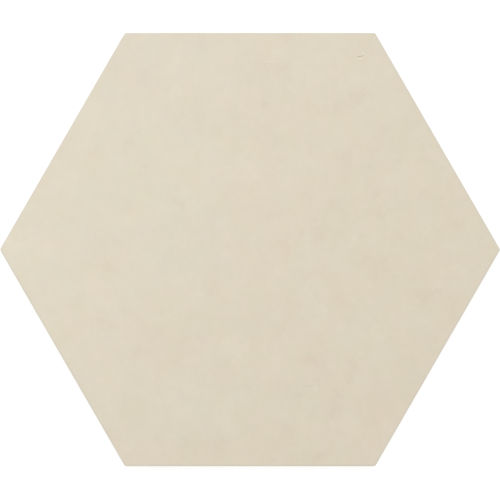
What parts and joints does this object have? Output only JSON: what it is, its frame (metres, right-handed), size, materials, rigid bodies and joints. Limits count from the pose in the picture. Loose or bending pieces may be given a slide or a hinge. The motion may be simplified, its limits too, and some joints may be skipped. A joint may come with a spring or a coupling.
{
  "type": "hexagon floor tile",
  "caption": "Flat regular-hexagon porcelain tile with a matte cream face, an eased arris, a drafted lower edge and a shallow honeycomb key pressed into its back.",
  "frame": {"origin": "middle of the bedding plane, which is the plane of the ribs and border on the tile's back", "axes": "+Z out of the wearing face; +X through a corner, to the right in the picture; +Y through the middle of an edge, up in the picture"},
  "size_m": [0.2496, 0.2164, 0.009],
  "materials": {
    "cream_porcelain": "matte"
  },
  "bodies": {
    "root": {"hexagon_tile": "cream_porcelain"}
  },
  "joints": []
}
